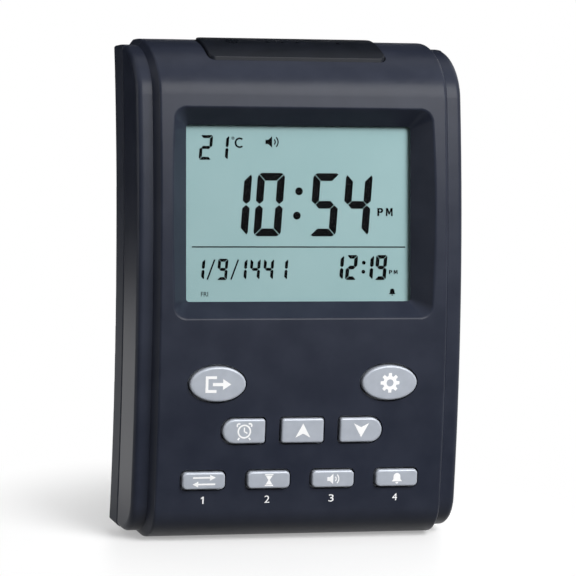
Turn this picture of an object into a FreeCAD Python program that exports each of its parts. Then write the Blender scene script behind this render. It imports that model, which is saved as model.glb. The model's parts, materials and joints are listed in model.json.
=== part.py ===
import FreeCAD, Part
import math
import os

from FreeCAD import Placement, Rotation, Vector

# Azan clock: a bent slab that leans back on its flat foot, with a recessed display, nine keys and a top bar.
# Clock frame: X to the right, Y to the rear, Z up the display. The row frame is the clock frame leaned back.

# Driving dimensions, in millimetres and degrees
SIZES = {
    # Outer shape
    "lean_angle": 9.0,
    "face_radius": 500.0,
    "face_middle": 95.3,
    "body_width": 96.8,
    "body_height": 145.6,
    "body_depth": 28.4,
    "crown_depth": 27.2,
    "crown_height": 17.0,
    "toe_depth": 13.5,
    "toe_height": 9.7,
    "shoulder_width": 6.0,
    "panel_round": 0.7,
    "step_run": 1.5,
    "shoulder_drop": 3.2,
    "shoulder_top_drop": 1.85,
    "shoulder_base_rise": 1.4,
    "shoulder_crown_depth": 22.0,
    "shoulder_crown_height": 15.0,
    "shoulder_toe_depth": 12.0,
    "shoulder_toe_height": 10.0,
    "shoulder_round": 1.7,
    "rear_round": 1.2,
    "wall": 2.0,
    "parting_from_rear": 10.2,
    "parting_gap": 0.25,
    # Display
    "window_width": 66.9,
    "window_height": 50.1,
    "window_corner": 0.9,
    "window_lift": 0.9,
    "bezel_slope_run": 5.55,
    "bezel_border": 3.4,
    "bezel_corner": 4.9,
    "bezel_depth": 6.5,
    "bezel_wall": 1.6,
    "bezel_round": 0.8,
    "window_thickness": 1.5,
    "window_overlap": 1.3,
    "glass_thickness": 2.8,
    "guide_thickness": 2.6,
    "stack_gap": 0.15,
    "frame_side": 1.8,
    "frame_fit": 0.2,
    "ear_width": 7.0,
    "ear_thickness": 2.0,
    "board_thickness": 1.6,
    "board_margin": 2.0,
    "board_post_gap": 0.35,
    # Keys
    "keypad_height": 33.5,
    "key_proud": 1.0,
    "key_gap": 0.55,
    "key_rim": 0.6,
    "key_flange": 0.95,
    "key_flange_thickness": 0.9,
    "flange_relief": 0.3,
    "key_rest_gap": 0.35,
    "key_stem_radius": 2.2,
    "key_stem_length": 0.9,
    "key_travel": 0.8,
    "oval_width": 16.4,
    "oval_height": 10.0,
    "oval_pitch": 51.0,
    "oval_row": 13.7,
    "middle_width": 12.5,
    "middle_height": 7.0,
    "middle_pitch": 17.4,
    "middle_row": 0.15,
    "middle_corner": 0.8,
    "lower_width": 12.5,
    "lower_height": 4.9,
    "lower_pitch": 19.15,
    "lower_row": -13.9,
    "lower_corner": 1.3,
    "mat_width": 78.0,
    "mat_height": 35.0,
    "mat_thickness": 0.8,
    "dome_radius": 3.1,
    "dome_height": 1.7,
    "key_board_margin": 1.6,
    # Top bar
    "bar_width": 52.8,
    "bar_front": 7.2,
    "bar_depth": 16.0,
    "bar_corner": 1.9,
    "bar_gap": 0.3,
    "bar_round": 0.5,
    "bar_proud": 0.9,
    "bar_skin": 1.6,
    "bar_drop": 9.0,
    "bar_flange": 1.2,
    "bar_flange_thickness": 1.2,
    "bar_travel": 1.0,
    "switch_width": 6.0,
    "switch_height": 4.0,
    "plunger_radius": 1.5,
    "plunger_height": 1.6,
    # Loudspeaker
    "speaker_height": 98.0,
    "speaker_radius": 18.0,
    "speaker_depth": 5.5,
    "magnet_radius": 9.0,
    "magnet_depth": 3.0,
    "grille_slot": 2.0,
    "grille_pitch": 4.2,
    "grille_corner": 0.95,
    "clamp_width": 2.0,
    # Battery bay
    "bay_gap": 2.75,
    "cell_radius": 7.25,
    "cell_length": 50.5,
    "cell_gap": 0.6,
    "cell_play": 0.4,
    "spring_length": 3.6,
    "spring_radius": 3.5,
    "spring_taper": 1.0,
    "plate_thickness": 0.4,
    "plate_side": 10.0,
    "bay_wall": 1.2,
    "door_overlap": 1.8,
    "door_thickness": 1.8,
    "door_gap": 0.3,
    "door_corner": 2.0,
    "door_lift": 15.0,
    "door_screw_radius": 1.1,
    # Fold-out foot
    "foot_width": 52.0,
    "foot_length": 18.0,
    "foot_thickness": 3.2,
    "foot_pin_radius": 1.2,
    "foot_pin_length": 2.6,
    "foot_pin_height": 2.0,
    "foot_pin_inset": 2.3,
    "foot_gap": 0.35,
    "recess_wall": 2.0,
    "pin_fit": 0.05,
    "pad_thickness": 0.8,
    "pad_proud": 0.3,
    "pad_width": 40.0,
    "pad_depth": 4.0,
    # Screws
    "case_screw_inset": 9.8,
    "case_screw_low": 11.5,
    "case_screw_gap": 1.1,
    "screw_skin": 1.0,
    "tip_gap": 0.5,
    "screw_radius": 1.15,
    "screw_head_radius": 2.2,
    "screw_head_height": 1.4,
    "screw_fit": 0.1,
    "post_radius": 2.9,
    "small_screw_radius": 0.9,
    "small_head_radius": 1.7,
    "small_head_height": 1.1,
    "small_post_radius": 2.2,
    # Electronics and wiring
    "strip_height": 2.0,
    "lamp_width": 4.0,
    "lamp_depth": 1.1,
    "chip_side": 9.0,
    "memory_side": 5.0,
    "chip_height": 1.2,
    "crystal_radius": 1.0,
    "crystal_length": 6.0,
    "capacitor_radius": 2.0,
    "capacitor_height": 3.0,
    "capacitor_pitch": 54.0,
    "lead_radius": 0.55,
    "lead_pitch": 1.43,
    "lead_bend": 1.5,
    "lead_gap": 2.0,
    "lead_rise": 4.55,
    "ribbon_overlap": 3.0,
    "ribbon_bend": 0.5,
    "ribbon_seat": 2.0,
}

document = FreeCAD.newDocument("azan_clock")
sheet = document.addObject("Spreadsheet::Sheet", "Sizes")
for row, (name, value) in enumerate(SIZES.items(), start=1):
    sheet.set(f"A{row}", name)
    sheet.set(f"B{row}", str(value))
    sheet.setAlias(f"B{row}", name)
document.recompute()


class Values:
    """Reads a size from the sheet by its name."""

    def __getattr__(self, name):
        return float(sheet.get(name))


size = Values()
NODES = []


def node(item, label):
    """Gives the finished sub-part its name."""
    item.Label = label
    NODES.append(item)
    return item


def bind(item, **expressions):
    """Binds properties to the sheet, with dots in property paths written as double underscores."""
    for path, expression in expressions.items():
        words = expression.split(" ")
        linked = " ".join("Sizes." + word if word in SIZES else word for word in words)
        item.setExpression(path.replace("__", "."), linked)


# Places
SAME_POINT = 1e-4
LEAN = Rotation(Vector(1, 0, 0), -size.lean_angle)
slope = math.tan(math.radians(size.lean_angle))


def face_depth(height, inset=0.0):
    """Depth of the bent face at a height, in the clock frame."""
    radius = size.face_radius - inset
    return size.face_radius - math.sqrt(radius ** 2 - (height - size.face_middle) ** 2)


def base_crossing(inset, rise=0.0):
    """Point where a bent surface meets the flat base line."""
    height = 0.0
    for _ in range(12):
        height = face_depth(height, inset) * slope + rise / math.cos(math.radians(size.lean_angle))
    return Vector(0, face_depth(height, inset), height)


toe_front = base_crossing(0.0)
heel = base_crossing(size.body_depth)
base_middle = (toe_front + heel + (heel - toe_front) * (size.toe_depth / size.body_depth)) * 0.5
ROW = Placement(LEAN.multVec(-base_middle), LEAN)


def face_frame(height):
    """Frame on the face at a height: X to the right, Y straight into the body, Z up along the face."""
    tilt = math.degrees(math.asin((size.face_middle - height) / size.face_radius))
    return Placement(Vector(0, face_depth(height), height), Rotation(Vector(1, 0, 0), tilt))


CLOCK = Placement()
KEYPAD = face_frame(size.keypad_height)


# Shapes
def block(low, high):
    """Box between two corners."""
    span = Vector(*high) - Vector(*low)
    return Part.makeBox(span.x, span.y, span.z, Vector(*low))


def rod(radius, length, start, direction=Vector(0, 1, 0)):
    """Round bar from its start along a direction."""
    return Part.makeCylinder(radius, length, Vector(*start), direction)


def union(shapes):
    """One shape from several that touch."""
    shapes = list(shapes)
    return shapes[0].multiFuse(shapes[1:]) if len(shapes) > 1 else shapes[0]


def rounded_outline(width, height, corner):
    """Rounded rectangle, as lines and arcs about its centre."""
    x, y = width / 2, height / 2
    inner_x, inner_y = x - corner, y - corner
    runs = [
        ((-inner_x, -y), (inner_x, -y)),
        ((x, -inner_y), (x, inner_y)),
        ((inner_x, y), (-inner_x, y)),
        ((-x, inner_y), (-x, -inner_y)),
    ]
    centres = [(inner_x, -inner_y), (inner_x, inner_y), (-inner_x, inner_y), (-inner_x, -inner_y)]
    outline = []
    for quarter, ((start, end), centre) in enumerate(zip(runs, centres)):
        outline.append(Part.LineSegment(Vector(*start, 0), Vector(*end, 0)))
        circle = Part.Circle(Vector(*centre, 0), Vector(0, 0, 1), corner)
        outline.append(Part.ArcOfCircle(circle, (quarter - 1) * math.pi / 2, quarter * math.pi / 2))
    return outline


def oval_outline(width, height, corner):
    """Ellipse about its centre."""
    return [Part.Ellipse(Vector(0, 0, 0), width / 2, height / 2)]


def left_round_outline(width, height, corner):
    """Rectangle whose left end is a half circle."""
    x, y = width / 2, height / 2
    inner_x, inner_y = x - corner, y - corner
    end = Part.Circle(Vector(y - x, 0, 0), Vector(0, 0, 1), y)
    low = Part.Circle(Vector(inner_x, -inner_y, 0), Vector(0, 0, 1), corner)
    high = Part.Circle(Vector(inner_x, inner_y, 0), Vector(0, 0, 1), corner)
    return [
        Part.LineSegment(Vector(y - x, -y, 0), Vector(inner_x, -y, 0)),
        Part.ArcOfCircle(low, -math.pi / 2, 0),
        Part.LineSegment(Vector(x, -inner_y, 0), Vector(x, inner_y, 0)),
        Part.ArcOfCircle(high, 0, math.pi / 2),
        Part.LineSegment(Vector(inner_x, y, 0), Vector(y - x, y, 0)),
        Part.ArcOfCircle(end, math.pi / 2, 3 * math.pi / 2),
    ]


def right_round_outline(width, height, corner):
    """Rectangle whose right end is a half circle."""
    x, y = width / 2, height / 2
    inner_x, inner_y = x - corner, y - corner
    end = Part.Circle(Vector(x - y, 0, 0), Vector(0, 0, 1), y)
    high = Part.Circle(Vector(-inner_x, inner_y, 0), Vector(0, 0, 1), corner)
    low = Part.Circle(Vector(-inner_x, -inner_y, 0), Vector(0, 0, 1), corner)
    return [
        Part.LineSegment(Vector(x - y, y, 0), Vector(-inner_x, y, 0)),
        Part.ArcOfCircle(high, math.pi / 2, math.pi),
        Part.LineSegment(Vector(-x, inner_y, 0), Vector(-x, -inner_y, 0)),
        Part.ArcOfCircle(low, math.pi, 3 * math.pi / 2),
        Part.LineSegment(Vector(-inner_x, -y, 0), Vector(x - y, -y, 0)),
        Part.ArcOfCircle(end, -math.pi / 2, math.pi / 2),
    ]


def prism(outline, start, depth, x=0.0, z=0.0):
    """Solid of an outline seen from the front, from one depth back to another."""
    wire = Part.Wire(Part.__sortEdges__([curve.toShape() for curve in outline]))
    face = Part.Face(wire)
    face.rotate(Vector(0, 0, 0), Vector(1, 0, 0), 90)
    face.translate(Vector(x, start, z))
    return face.extrude(Vector(0, depth, 0))


def corner_curve(start, corner, end):
    """Curve of a quarter ellipse between two tangents."""
    pull = 0.5523
    curve = Part.BezierCurve()
    curve.setPoles([start, start + (corner - start) * pull, end + (corner - end) * pull, end])
    return curve


def side_outline(x, shoulder, inset):
    """Closed side profile of the bent slab at one X, for the raised panel or for the shoulder."""
    front = inset + (size.shoulder_drop if shoulder else 0.0)
    rear = size.body_depth - inset
    top = size.body_height - inset - (size.shoulder_top_drop if shoulder else 0.0)
    rise = inset + (size.shoulder_base_rise if shoulder else 0.0)
    crown_depth = (size.shoulder_crown_depth if shoulder else size.crown_depth) - 2 * inset
    crown_height = (size.shoulder_crown_height if shoulder else size.crown_height) - inset
    toe_depth = (size.shoulder_toe_depth if shoulder else size.toe_depth) - inset
    toe_height = (size.shoulder_toe_height if shoulder else size.toe_height) - inset

    front_low = base_crossing(front, rise)
    rear_low = base_crossing(rear, rise)
    along = Vector(0, 1, slope).normalize()
    toe_rear = front_low + along * toe_depth
    toe_top = Vector(0, 0, front_low.z + toe_height)
    toe_top.y = face_depth(toe_top.z, front)
    toe_corner = tangent_at(toe_top, front, front_low, along)
    crown_start = Vector(0, 0, top - crown_height)
    crown_start.y = face_depth(crown_start.z, front)
    crown_end = Vector(0, crown_start.y + crown_depth, top)
    crown_corner = tangent_at(crown_start, front, crown_end, Vector(0, 1, 0))
    middle = Vector(0, face_depth(size.face_middle, front), size.face_middle)
    rear_top = Vector(0, face_depth(top, rear), top)
    rear_middle = Vector(0, face_depth(size.face_middle, rear), size.face_middle)

    curves = [
        Part.Arc(toe_top, middle, crown_start),
        corner_curve(crown_start, crown_corner, crown_end),
        Part.LineSegment(crown_end, rear_top),
        Part.Arc(rear_top, rear_middle, rear_low),
        Part.LineSegment(rear_low, toe_rear),
        corner_curve(toe_rear, toe_corner, toe_top),
    ]
    wire = Part.Wire([curve.toShape() for curve in curves])
    wire.translate(Vector(x, 0, 0))
    return wire


def tangent_at(point, inset, through, direction):
    """Where the face's tangent at a point meets a line through another point."""
    turn = math.asin((point.z - size.face_middle) / (size.face_radius - inset))
    tangent = Vector(0, math.sin(turn), math.cos(turn))
    offset = through - point
    across = tangent.y * direction.z - tangent.z * direction.y
    return point + tangent * ((offset.y * direction.z - offset.z * direction.y) / across)


def slab(inset):
    """The bent slab with its raised panel, or the hollow in it when inset by the wall."""
    half = size.body_width / 2 - inset
    panel = size.body_width / 2 - size.shoulder_width - inset
    foot = panel + size.step_run
    shoulder = Part.Face(side_outline(0, True, inset))
    centre = Part.Face(side_outline(0, False, inset))
    pieces = [centre.extrude(Vector(2 * panel, 0, 0)).translate(Vector(-panel, 0, 0))]
    for side in (-1, 1):
        slope_walls = [side_outline(side * foot, True, inset), side_outline(side * panel, False, inset)]
        pieces.append(Part.makeLoft(slope_walls, True, True))
        outer = shoulder.extrude(Vector(side * (half - foot), 0, 0))
        pieces.append(outer.translate(Vector(side * foot, 0, 0)))
    return union(pieces)


def round_sides(shape, radius, keep):
    """Rounds the outermost side edges that a test picks."""
    half = size.body_width / 2
    edges = [
        edge for edge in shape.Edges
        if all(abs(abs(vertex.X) - half) < SAME_POINT for vertex in edge.Vertexes) and keep(edge)
    ]
    return shape.makeFillet(radius, edges)


def bent_cylinder(inset):
    """Everything behind the surface that lies an inset deep under the face."""
    length = size.body_width + 2 * size.wall
    start = Vector(-length / 2, size.face_radius, size.face_middle)
    return Part.makeCylinder(size.face_radius - inset, length, start, Vector(1, 0, 0))


def round_panel(shape):
    """Rounds the raised panel's two side edges, from the base over the face and the crown to the rear."""
    panel = size.body_width / 2 - size.shoulder_width
    edges = [
        edge for edge in shape.Edges
        if all(abs(abs(vertex.X) - panel) < SAME_POINT for vertex in edge.Vertexes)
        and edge.CenterOfMass.z > 0 and on_front_or_top(edge)
    ]
    return shape.makeFillet(size.panel_round, edges)


def on_front_or_top(edge):
    """True for an edge on the face, the toe, the crown or the top."""
    point = edge.CenterOfMass
    rear = all(abs(vertex.Y - face_depth(vertex.Z, size.body_depth)) < SAME_POINT for vertex in edge.Vertexes)
    base = all(abs(vertex.Z - vertex.Y * slope) < SAME_POINT for vertex in edge.Vertexes)
    return not rear and not base and point.y < face_depth(point.z, size.body_depth)


def placed(shape, placement):
    """Copy of a shape moved into a frame."""
    result = shape.copy()
    result.Placement = placement.multiply(result.Placement)
    return result


# Depths under the face, worked out from the stack of pieces
window_back = size.bezel_depth + size.window_thickness
glass_front = window_back + size.stack_gap
glass_back = glass_front + size.glass_thickness
guide_front = glass_back + size.stack_gap
guide_back = guide_front + size.guide_thickness
board_front = guide_back + size.stack_gap
board_back = board_front + size.board_thickness
parting = size.body_depth - size.parting_from_rear
keys_top = size.keypad_height + size.oval_row + size.oval_height / 2
bar_bottom = size.body_height - size.bar_drop
window_middle = (keys_top + bar_bottom) / 2 + size.window_lift
side_slope_run = (size.body_width - size.window_width) / 2 - size.shoulder_width - size.bezel_border
frame_border = size.window_overlap + size.frame_fit + size.frame_side
board_screw_x = size.window_width / 2 + frame_border + size.small_post_radius + size.board_post_gap
board_screw_z = size.window_height / 2 + frame_border
board_half_width = board_screw_x + size.small_head_radius
board_half_height = board_screw_z + size.small_head_radius + size.board_margin
switch_top = bar_bottom - size.plunger_height
switch_axis = board_back + size.switch_height / 2
case_screw_x = size.body_width / 2 - size.case_screw_inset
case_screw_high = window_middle + board_half_height + size.case_screw_gap + size.post_radius

flange_front = size.wall + size.key_rest_gap
stem_front = flange_front + size.key_flange_thickness
dome_top = stem_front + size.key_stem_length
mat_front = dome_top + size.dome_height
mat_back = mat_front + size.mat_thickness
key_board_back = mat_back + size.board_thickness

door_back = size.body_depth
door_front = door_back - size.door_thickness
cell_middle = door_front - size.cell_play - size.cell_radius
bay_floor_back = cell_middle - size.cell_radius - size.cell_play
bay_floor_front = bay_floor_back - size.bay_wall
bay_half_width = size.cell_length / 2 + size.spring_length / 2 + size.plate_thickness + size.cell_play
bay_half_height = 2 * size.cell_radius + size.cell_gap / 2 + size.cell_play
door_width = 2 * (bay_half_width + size.door_overlap)
door_height = 2 * (bay_half_height + size.door_overlap)
bay_top = window_middle - board_half_height - size.bay_gap
bay_height = bay_top - size.bay_wall - door_height / 2
BAY = face_frame(bay_height)


# Keys: name, outline, width, height, corner, X and Z on the keypad
KEY_ROWS = {
    "oval": (size.oval_width, size.oval_height, 0.0),
    "middle": (size.middle_width, size.middle_height, size.middle_corner),
    "lower": (size.lower_width, size.lower_height, size.lower_corner),
}
KEYS = [
    ("key_exit", oval_outline, "oval", -0.5 * size.oval_pitch, size.oval_row),
    ("key_set", oval_outline, "oval", 0.5 * size.oval_pitch, size.oval_row),
    ("key_previous", left_round_outline, "middle", -size.middle_pitch, size.middle_row),
    ("key_mode", rounded_outline, "middle", 0.0, size.middle_row),
    ("key_next", right_round_outline, "middle", size.middle_pitch, size.middle_row),
    ("key_one", rounded_outline, "lower", -1.5 * size.lower_pitch, size.lower_row),
    ("key_two", rounded_outline, "lower", -0.5 * size.lower_pitch, size.lower_row),
    ("key_three", rounded_outline, "lower", 0.5 * size.lower_pitch, size.lower_row),
    ("key_four", rounded_outline, "lower", 1.5 * size.lower_pitch, size.lower_row),
]


def key_prism(key, grow, start, depth):
    """Prism of one key's outline, grown all round, in the keypad frame."""
    label, outline, row_name, x, z = key
    width, height, corner = KEY_ROWS[row_name]
    curves = outline(width + 2 * grow, height + 2 * grow, corner + grow)
    return prism(curves, start, depth, x, z)


def bar_prism(grow, low, high):
    """Upright prism of the top bar's outline, grown all round."""
    width = size.bar_width + 2 * grow
    depth = size.bar_depth + 2 * grow
    curves = rounded_outline(width, depth, size.bar_corner + grow)
    face = Part.Face(Part.Wire(Part.__sortEdges__([curve.toShape() for curve in curves])))
    face.translate(Vector(0, size.bar_front + size.bar_depth / 2, low))
    return face.extrude(Vector(0, 0, high - low))


def frustum(front, run, grow):
    """Tapered pocket of the bezel, whose slopes run on to a front depth, grown all round."""
    wires = []
    for depth, share, corner in ((front, run, size.bezel_corner), (size.bezel_depth, 0.0, size.window_corner)):
        width = size.window_width + 2 * (side_slope_run * share + grow)
        height = size.window_height + 2 * (size.bezel_slope_run * share + grow)
        curves = rounded_outline(width, height, corner + grow)
        wire = Part.Wire(Part.__sortEdges__([curve.toShape() for curve in curves]))
        wire.rotate(Vector(0, 0, 0), Vector(1, 0, 0), 90)
        wire.translate(Vector(0, depth, window_middle))
        wires.append(wire)
    return Part.makeLoft(wires, True, True)


def case_screw_points():
    """X and Z of the four case screws."""
    for z in (size.case_screw_low, case_screw_high):
        for side in (-1, 1):
            yield side * case_screw_x, z


def board_screw_points():
    """X and Z of the four display board screws."""
    for up in (-1, 1):
        for side in (-1, 1):
            yield side * board_screw_x, window_middle + up * board_screw_z


def key_board_screw_points():
    """X and Z of the four key board screws, in the keypad frame."""
    x = size.mat_width / 2 - size.small_post_radius
    z = (size.oval_row + size.middle_row) / 2
    low = (size.lower_row + size.middle_row) / 2
    return [(-x, z), (x, z), (-x, low), (x, low)]


# Shells
outer = round_panel(slab(0.0))
hollow = slab(size.wall)
front_block = round_sides(
    outer.cut(bent_cylinder(parting)),
    size.shoulder_round,
    lambda edge: edge.CenterOfMass.y < face_depth(edge.CenterOfMass.z, parting) - size.shoulder_round,
)
rear_block = round_sides(
    outer.common(bent_cylinder(parting + size.parting_gap)),
    size.rear_round,
    lambda edge: edge.CenterOfMass.y > face_depth(edge.CenterOfMass.z, parting + size.rear_round),
)


def feature(label, shape, placement=CLOCK):
    """Sub-part whose shape is made from curved surfaces, placed in the row frame."""
    item = document.addObject("Part::Feature", label)
    item.Shape = shape
    item.Placement = ROW.multiply(placement).multiply(shape.Placement)
    return node(item, label)


def front_case():
    """Front shell: bezel tub, key holes, bar opening and the posts that carry boards and screws."""
    shell = front_block.cut(hollow)
    tub = frustum(0.0, 1.0, size.bezel_wall)
    posts = [
        rod(size.post_radius, 2 * size.body_depth, (x, 0, z)) for x, z in case_screw_points()
    ]
    posts += [
        rod(size.small_post_radius, board_front - size.ear_thickness - size.stack_gap, (x, 0, z))
        for x, z in board_screw_points()
    ]
    posts += [
        placed(rod(size.small_post_radius, mat_front, (x, 0, z)), KEYPAD)
        for x, z in key_board_screw_points()
    ]
    inside = front_block.common(union(posts + [tub]))
    shell = shell.fuse(inside)
    tools = [
        frustum(-size.wall, 1.0 + size.wall / size.bezel_depth, 0.0),
        prism(
            rounded_outline(size.window_width, size.window_height, size.window_corner),
            size.bezel_depth - size.wall, 2 * size.wall, 0.0, window_middle,
        ),
        bar_prism(size.bar_gap, bar_bottom, size.body_height + size.wall),
    ]
    reach = -size.key_proud - size.wall
    relief = size.wall - size.flange_relief
    for key in KEYS:
        tools.append(placed(key_prism(key, size.key_gap, reach, flange_front - reach), KEYPAD))
        stem_space = key_prism(key, size.key_flange + size.key_gap, relief, mat_front - relief)
        tools.append(placed(stem_space, KEYPAD))
    for x, z in case_screw_points():
        tools.append(rod(size.screw_radius, size.body_depth, (x, 2 * size.wall + face_depth(z), z)))
    for x, z in board_screw_points():
        tools.append(rod(size.small_screw_radius, board_front, (x, size.bezel_depth, z)))
    for x, z in key_board_screw_points():
        start = (x, size.wall + size.screw_skin, z)
        tools.append(placed(rod(size.small_screw_radius, mat_front, start), KEYPAD))
    feature("front_case", round_bezel(shell.cut(union(tools))))


def round_bezel(shape):
    """Rounds the edge where the bezel's slopes leave the face."""
    half_width = size.window_width / 2 + side_slope_run
    half_height = size.window_height / 2 + size.bezel_slope_run
    reach = size.bezel_border / 2

    def on_bezel_rim(vertex):
        x = abs(vertex.X) - half_width
        z = abs(vertex.Z - window_middle) - half_height
        level = abs(vertex.Y - face_depth(vertex.Z)) < SAME_POINT
        return level and abs(max(x, z)) < reach

    edges = [edge for edge in shape.Edges if all(on_bezel_rim(vertex) for vertex in edge.Vertexes)]
    return shape.makeFillet(size.bezel_round, edges)


def bay_box(width, height, front, back):
    """Box about the middle of the battery bay, in the bay frame."""
    return block((-width / 2, front, -height / 2), (width / 2, back, height / 2))


def foot_recess():
    """Space for the folded foot at the bottom of the rear cover, in the row frame."""
    heel_y = ROW.multVec(heel).y
    knuckle = size.foot_pin_height - size.pad_proud
    low = (-size.foot_width / 2 - size.foot_gap, foot_pin_start().y - knuckle - size.foot_gap, -size.wall)
    high = (
        size.foot_width / 2 + size.foot_gap, heel_y + size.wall,
        size.foot_length + size.foot_pin_height + size.foot_gap,
    )
    return block(low, high)


def foot_pin_start():
    """Middle of the foot's hinge line, in the row frame."""
    return Vector(0, ROW.multVec(heel).y - size.foot_pin_inset, size.foot_pin_height)


def rear_cover():
    """Rear shell: battery bay, foot recess, loudspeaker ring and grille, screw pillars."""
    shell = rear_block.cut(hollow)
    bay_outer = bay_box(
        door_width + 2 * size.bay_wall, door_height + 2 * size.bay_wall, bay_floor_front, door_back,
    )
    knuckle = size.foot_pin_height - size.pad_proud
    recess_half = size.foot_width / 2 + size.foot_pin_length + size.recess_wall
    recess_walls = block(
        (-recess_half, foot_pin_start().y - knuckle - size.foot_gap - size.recess_wall, 0.0),
        (
            recess_half, foot_pin_start().y + size.body_depth,
            size.foot_length + size.foot_pin_height + size.foot_gap + size.bay_wall,
        ),
    )
    pillars = [
        rod(size.post_radius, 2 * size.body_depth, (x, 0, z)) for x, z in case_screw_points()
    ]
    ring_front = size.body_depth - size.wall - size.speaker_depth
    ring = rod(
        size.speaker_radius + size.clamp_width + size.stack_gap, size.speaker_depth + size.wall,
        (0, ring_front, size.speaker_height),
    ).cut(rod(size.speaker_radius + size.stack_gap, size.body_depth, (0, 0, size.speaker_height)))
    inside = union([placed(recess_walls, ROW.inverse()), *pillars])
    bay_walls = outer.common(placed(bay_outer, BAY))
    shell = union([shell, rear_block.common(inside), outer.common(ring), bay_walls])
    tools = [
        placed(
            bay_box(2 * bay_half_width, 2 * bay_half_height, bay_floor_back, door_back + size.wall), BAY
        ),
        placed(
            bay_box(
                door_width + 2 * size.door_gap, door_height + 2 * size.door_gap, door_front,
                door_back + size.wall,
            ),
            BAY,
        ),
        placed(foot_recess(), ROW.inverse()),
        bar_prism(size.bar_gap, bar_bottom, size.body_height + size.wall),
    ]
    pin_half = size.foot_width / 2 + size.foot_pin_length + size.foot_gap
    pin_hole = rod(
        size.foot_pin_radius + size.pin_fit, 2 * pin_half,
        foot_pin_start() - Vector(pin_half, 0, 0), Vector(1, 0, 0),
    )
    tools.append(placed(pin_hole, ROW.inverse()))
    slots = int(size.speaker_radius / size.grille_pitch)
    for step in range(-slots + 1, slots):
        z = step * size.grille_pitch
        half = math.sqrt((size.speaker_radius - size.clamp_width) ** 2 - z ** 2)
        slot = rounded_outline(2 * half, size.grille_slot, size.grille_corner)
        start = size.body_depth - 2 * size.wall
        tools.append(prism(slot, start, 3 * size.wall, 0.0, size.speaker_height + z))
    for x, z in case_screw_points():
        surface = face_depth(z, size.body_depth)
        tools.append(rod(size.screw_radius + size.screw_fit, size.body_depth, (x, parting, z)))
        tools.append(
            rod(
                size.screw_head_radius + size.screw_fit, size.body_depth,
                (x, surface - size.screw_head_height - size.wall, z),
            )
        )
    feature("rear_cover", shell.cut(union(tools)))


def screws(label, points, radius, head_radius, head_height, tip, seat, placement=CLOCK):
    """Group of equal screws, each from its tip to the seat of its head."""
    bodies = []
    for x, z in points:
        low = tip(z)
        high = seat(z)
        shank = rod(radius, high - low, (x, low, z))
        head = rod(head_radius, head_height, (x, high, z))
        bodies.append(shank.fuse(head))
    feature(label, Part.makeCompound(bodies), placement)


def top_bar():
    """Long rounded bar over the crown, a skin with a stem that reaches its switch."""
    low = bar_bottom + size.bar_flange_thickness
    column = bar_prism(0.0, low, size.body_height + size.wall)
    raised = slab(-size.bar_proud)
    skin = round_rim(column.common(raised), low)
    core = bar_prism(-size.bar_skin, low, size.body_height).common(slab(size.bar_skin - size.bar_proud))
    flange = bar_prism(size.bar_gap + size.bar_flange, low - size.bar_flange_thickness, low)
    flange = flange.cut(bar_prism(-size.bar_skin, low - size.wall, low + size.wall))
    stem = block(
        (-size.plunger_radius, board_back, low - size.bar_flange_thickness),
        (size.plunger_radius, board_back + size.switch_height, size.body_height),
    )
    bar = skin.cut(core).fuse(flange.common(slab(size.wall + size.bar_gap)))
    feature("top_bar", bar.fuse(stem.common(raised)))


def round_rim(shape, low):
    """Rounds the rim of the bar's upper surface."""
    edges = [
        edge for edge in shape.Edges
        if all(vertex.Z > low + SAME_POINT for vertex in edge.Vertexes)
        and edge.BoundBox.XLength + edge.BoundBox.YLength > SAME_POINT and on_bar_side(edge)
    ]
    return shape.makeFillet(size.bar_round, edges)


def on_bar_side(edge):
    """True for an edge on the upright sides of the bar, not across its upper surface."""
    point = edge.CenterOfMass
    x = abs(point.x) - size.bar_width / 2
    y = abs(point.y - size.bar_front - size.bar_depth / 2) - size.bar_depth / 2
    return max(x, y) > -size.bar_corner / 2


def plane_of(body, role):
    """One of a body's own origin planes."""
    return next(item for item in body.Origin.OriginFeatures if item.Role == role)


def new_body(label, placement=CLOCK):
    """Empty solid body in one of the frames."""
    item = document.addObject("PartDesign::Body", label)
    item.Placement = ROW.multiply(placement)
    return node(item, label)


def front_sketch(body, name, outlines, depth):
    """Sketch seen from the front, at a depth; each outline has its X and Z."""
    sketch = body.newObject("Sketcher::SketchObject", f"{body.Label}_{name}")
    sketch.AttachmentSupport = [(plane_of(body, "XZ_Plane"), "")]
    sketch.MapMode = "FlatFace"
    sketch.AttachmentOffset = Placement(Vector(0, 0, -depth), Rotation())
    for curves, x, z in outlines:
        for curve in curves:
            moved = curve.copy()
            moved.translate(Vector(x, z, 0))
            sketch.addGeometry(moved, False)
    return sketch


def pad(body, name, outlines, depth, length):
    """Pad towards the rear, with its length bound to the sheet."""
    item = body.newObject("PartDesign::Pad", f"{body.Label}_{name}")
    item.Profile = front_sketch(body, name + "_sketch", outlines, depth)
    bind(item, Length=length)
    item.Reversed = True
    return item


def pocket(body, name, outlines, depth, length):
    """Pocket towards the rear, with its length bound to the sheet."""
    item = body.newObject("PartDesign::Pocket", f"{body.Label}_{name}")
    item.Profile = front_sketch(body, name + "_sketch", outlines, depth)
    bind(item, Length=length)
    return item


def circle_outline(radius):
    """Full circle about its centre."""
    return [Part.Circle(Vector(0, 0, 0), Vector(0, 0, 1), radius)]


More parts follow.
